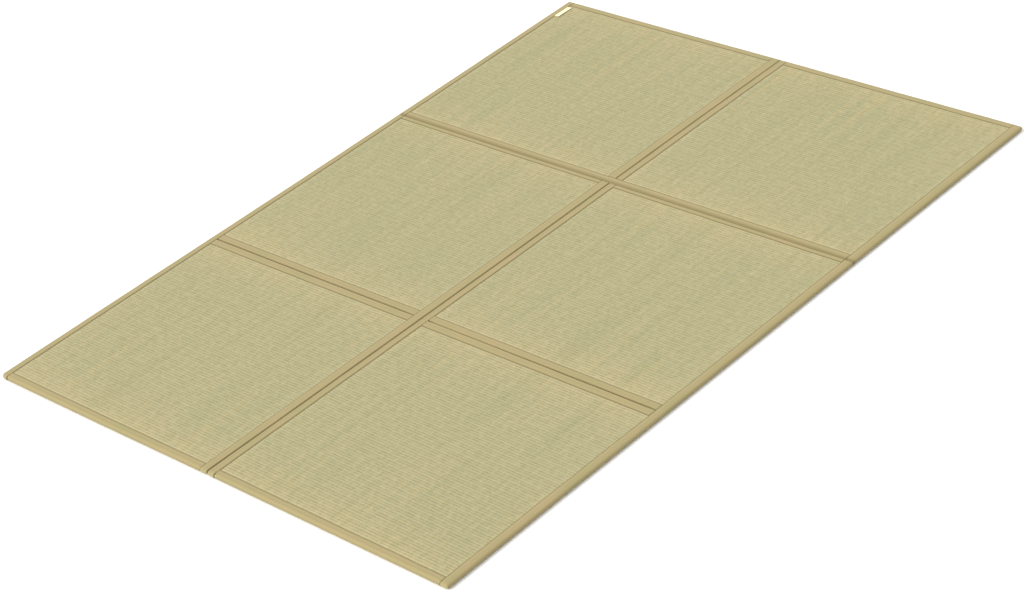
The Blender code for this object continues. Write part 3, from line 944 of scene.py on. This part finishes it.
def stitches(name, lines, lift, pitch):
    """Stitches along the lines of points, raised by `lift` and `pitch` apart."""
    points, edges = [], []
    for line in lines:
        start = len(points)
        points += [(x, y, z + lift) for x, y, z in line]
        edges += [(i, i + 1) for i in range(start, len(points) - 1)]
    mesh = bpy.data.meshes.new(name)
    mesh.from_pydata(points, edges, [])
    obj = bpy.data.objects.new(name, mesh)
    bpy.context.collection.objects.link(obj)
    grow(obj, sewing, {"Thread": thread_cotton, "Pitch": pitch})
    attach(obj, "root")


stitches("hem_stitches_top", sewn_lines["top"], 0.1 * MM, 3.6 * MM)
stitches("hem_stitches_under", sewn_lines["under"], 0.2 * MM, 5.0 * MM)


# --- Label tab ----------------------------------------------------------------------------
# A short loop of cream label cloth, left bare, caught under the left side tape near the back.
# It is folded in two, and its folded edge stands a little off the rush.

LABEL_LENGTH = 50.0
LABEL_FROM_BACK = 80.0
LABEL_THICK = 0.35
LABEL_LOW = 11.7            # where its lower layer leaves the tape
LABEL_DROOP = 0.35          # how much flatter the loop lies at its back end
LABEL_SECTION = np.array([
    # reach over the rush, and height
    (0.3, 11.7), (5.0, 11.75), (10.0, 12.2), (13.0, 12.7), (13.8, 13.1), (14.0, 13.5),
    (13.7, 13.9), (12.8, 14.1), (10.0, 13.6), (5.0, 12.9), (0.3, 12.6),
])
label_cloth = bpy.data.materials.new("woven_label_cloth")
label_cloth.use_nodes = True
tree = label_cloth.node_tree
shader = tree.nodes["Principled BSDF"]
shader.inputs["Roughness"].default_value = 0.75
shader.inputs["Sheen Weight"].default_value = 0.1
place = add(tree, "ShaderNodeTexCoord").outputs["Object"]
fine = add(
    tree, "ShaderNodeTexWave", {"Vector": place, "Scale": 260.0, "Distortion": 0.6}, bands_direction="Y"
).outputs["Fac"]
cream = add(
    tree, "ShaderNodeMix", {"Factor": fine, 6: linear("F2E6B4"), 7: linear("FBF0C6")}, data_type="RGBA"
).outputs[2]
tree.links.new(cream, shader.inputs["Base Color"])
fine_bump = add(tree, "ShaderNodeBump", {"Height": fine, "Strength": 0.3, "Distance": 0.1 * MM})
tree.links.new(fine_bump.outputs[0], shader.inputs["Normal"])

reach, rise = LABEL_SECTION.T
marks = np.linspace(0, LABEL_LENGTH, 21)
grid = np.zeros((len(reach), len(marks), 3))
for j, mark in enumerate(marks):
    droop = 1 - LABEL_DROOP * (mark / LABEL_LENGTH)
    px, py = laid(
        X_LEFT + SIDE_TAPE + 0.2 + reach,
        np.full(len(reach), Y_BACK - LABEL_FROM_BACK + mark),
    )
    grid[:, j] = np.stack([px, py, (LABEL_LOW + (rise - LABEL_LOW) * droop) * MM], -1)
nx, ny = grid.shape[:2]
index = np.arange(nx * ny).reshape(nx, ny)
faces = np.stack([index[:-1, :-1], index[:-1, 1:], index[1:, 1:], index[1:, :-1]], -1).reshape(-1, 4)
mesh = bpy.data.meshes.new("label_loop")
mesh.from_pydata(grid.reshape(-1, 3), [], faces)
label = bpy.data.objects.new("label_loop", mesh)
bpy.context.collection.objects.link(label)
label_mesh = given_thickness(label, LABEL_THICK * MM, 0)
bm = bmesh.new()
bm.from_mesh(label_mesh)
bmesh.ops.recalc_face_normals(bm, faces=bm.faces)
bm.to_mesh(label_mesh)
bm.free()
label_mesh.shade_smooth()
label_mesh.set_sharp_from_angle(angle=SHARP)
label_mesh.materials.append(label_cloth)
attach(label, "root")
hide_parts("label_tab")


# --- The room -----------------------------------------------------------------------------
# A plain white floor in even daylight, with one broad soft lamp to the front and left.

HALF_FLOOR = 15.0
FLOOR_AT = -0.4 * MM        # just clear of the underside
floor_corners = [(x * HALF_FLOOR, y * HALF_FLOOR, FLOOR_AT) for x, y in ((-1, -1), (1, -1), (1, 1), (-1, 1))]
floor_mesh = bpy.data.meshes.new("floor")
floor_mesh.from_pydata(floor_corners, [], [(0, 1, 2, 3)])
floor = bpy.data.objects.new("floor", floor_mesh)
bpy.context.collection.objects.link(floor)
white = bpy.data.materials.new("white_floor")
white.use_nodes = True
shader = white.node_tree.nodes["Principled BSDF"]
shader.inputs["Base Color"].default_value = (0.92, 0.92, 0.92, 1)
shader.inputs["Roughness"].default_value = 0.9
shader.inputs["Specular IOR Level"].default_value = 0.1
floor_mesh.materials.append(white)

world = bpy.data.worlds.new("daylight")
bpy.context.scene.world = world
world.use_nodes = True
daylight = world.node_tree.nodes["Background"]
daylight.inputs["Color"].default_value = (1, 1, 1, 1)
daylight.inputs["Strength"].default_value = 1.0

lamp_data = bpy.data.lights.new("soft_lamp", "SUN")
lamp_data.angle = math.radians(35)
lamp_data.energy = 2.3
lamp = bpy.data.objects.new("soft_lamp", lamp_data)
bpy.context.collection.objects.link(lamp)
LAMP_AT = np.array([-3.0, -5.0, 4.2])
lamp.location = LAMP_AT
toward = -LAMP_AT / np.linalg.norm(LAMP_AT)
side = np.cross(toward, [0, 0, 1])
side /= np.linalg.norm(side)
lamp.rotation_euler = Matrix((side, np.cross(side, toward), -toward)).transposed().to_euler()

camera_data = bpy.data.cameras.new("camera")
camera_data.sensor_width = 36.0
camera_data.lens = 98.8945
camera_data.clip_end = 60.0
camera = bpy.data.objects.new("camera", camera_data)
bpy.context.collection.objects.link(camera)
AZIMUTH, ELEVATION, ROLL = math.radians(49.434), math.radians(32.292), math.radians(-11.573)
TARGET = np.array([0.123 + FRAME_SHIFT[0] * MM, -0.149 + FRAME_SHIFT[1] * MM, 0.012])
DISTANCE = 6.107
back = np.array([
    math.sin(AZIMUTH) * math.cos(ELEVATION), -math.cos(AZIMUTH) * math.cos(ELEVATION), math.sin(ELEVATION)
])
level = np.cross(-back, [0, 0, 1])
level /= np.linalg.norm(level)
upright = np.cross(level, -back)
right = math.cos(ROLL) * level + math.sin(ROLL) * upright
up = -math.sin(ROLL) * level + math.cos(ROLL) * upright
camera.location = TARGET + DISTANCE * back
camera.rotation_euler = Matrix((right, up, back)).transposed().to_euler()
bpy.context.scene.camera = camera
bpy.context.scene.view_settings.view_transform = "Standard"
